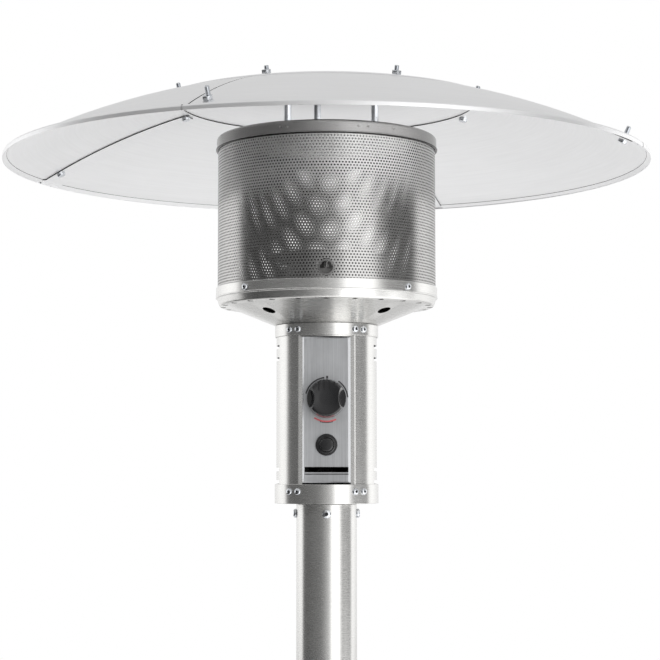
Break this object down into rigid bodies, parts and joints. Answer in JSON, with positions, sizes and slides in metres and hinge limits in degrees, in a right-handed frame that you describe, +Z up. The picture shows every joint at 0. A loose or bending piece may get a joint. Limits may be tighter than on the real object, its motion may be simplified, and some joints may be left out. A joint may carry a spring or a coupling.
{
  "type": "tabletop patio heater",
  "caption": "Free-standing gas tabletop patio heater with a bolted dome reflector over a perforated emitter drum, a burner bowl, a knob-and-igniter control head, a post and a weighted base.",
  "frame": {"origin": "on the table under the post's axis, at the soles of the rubber feet", "axes": "+Z up along the post, the controls face -Y, +X to the right of someone facing the controls"},
  "size_m": [0.543, 0.543, 0.9577],
  "materials": {
    "stainless": "brushed stainless",
    "reflector_sheet": "satin sheet",
    "emitter_steel": "perforated stainless",
    "zinc": "zinc plated",
    "black_plastic": "satin black",
    "brass": "machined",
    "rubber": "matt",
    "iron": "painted casting",
    "cylinder_paint": "semi-gloss paint",
    "plate_steel": "galvanised plate",
    "dark_steel": "heat-darkened"
  },
  "bodies": {
    "heater": {"base_pan": "stainless", "base_weight": "iron", "rubber_feet": "rubber", "tank_locator_ring": "plate_steel", "tank_housing": "stainless", "tank_housing_cap": "stainless", "tank_housing_screws": "zinc", "post_flange": "plate_steel", "gas_cylinder": "cylinder_paint", "regulator": "brass", "gas_hose": "rubber", "post": "stainless", "post_screws_lower": "zinc", "post_screws_upper": "zinc", "housing_floor": "plate_steel", "lower_band": "stainless", "upper_band": "stainless", "side_cover_left": "stainless", "side_cover_right": "stainless", "housing_screws": "zinc", "control_plate": "plate_steel", "valve_body": "brass", "igniter_collar": "black_plastic", "igniter_body": "black_plastic", "gas_tube": "brass", "injector": "brass", "pilot_tube": "brass", "thermocouple": "brass", "spark_electrode": "dark_steel", "pilot_bracket": "dark_steel", "tilt_switch": "black_plastic", "burner_bowl": "stainless", "burner_tray": "dark_steel", "main_burner": "dark_steel", "emitter_screen": "emitter_steel", "emitter_cap": "emitter_steel", "heat_deflector": "emitter_steel", "bowl_screws": "zinc", "standoff_rods": "zinc", "standoff_nuts": "zinc", "reflector_panel_front": "reflector_sheet", "reflector_panel_right": "reflector_sheet", "reflector_panel_rear": "reflector_sheet", "reflector_panel_left": "reflector_sheet", "reflector_centre_disc": "reflector_sheet", "reflector_bolts": "zinc", "reflector_nuts": "zinc"},
    "valve_plunger": {"valve_plunger": "brass"},
    "knob": {"knob": "black_plastic", "valve_stem": "brass"},
    "igniter_button": {"igniter_button": "black_plastic"}
  },
  "joints": [
    {"name": "knob_push", "type": "slide", "parent": "heater", "child": "valve_plunger", "axis": [0, 1, 0], "range_m": [0, 0.0035], "stiffness_N_per_m": 600},
    {"name": "knob_turn", "type": "hinge", "parent": "valve_plunger", "child": "knob", "pos_m": [0, -0.0364, 0.68619], "axis": [0, -1, 0], "range_deg": [0, 210]},
    {"name": "igniter_press", "type": "slide", "parent": "heater", "child": "igniter_button", "axis": [0, 1, 0], "range_m": [0, 0.005], "stiffness_N_per_m": 800}
  ]
}
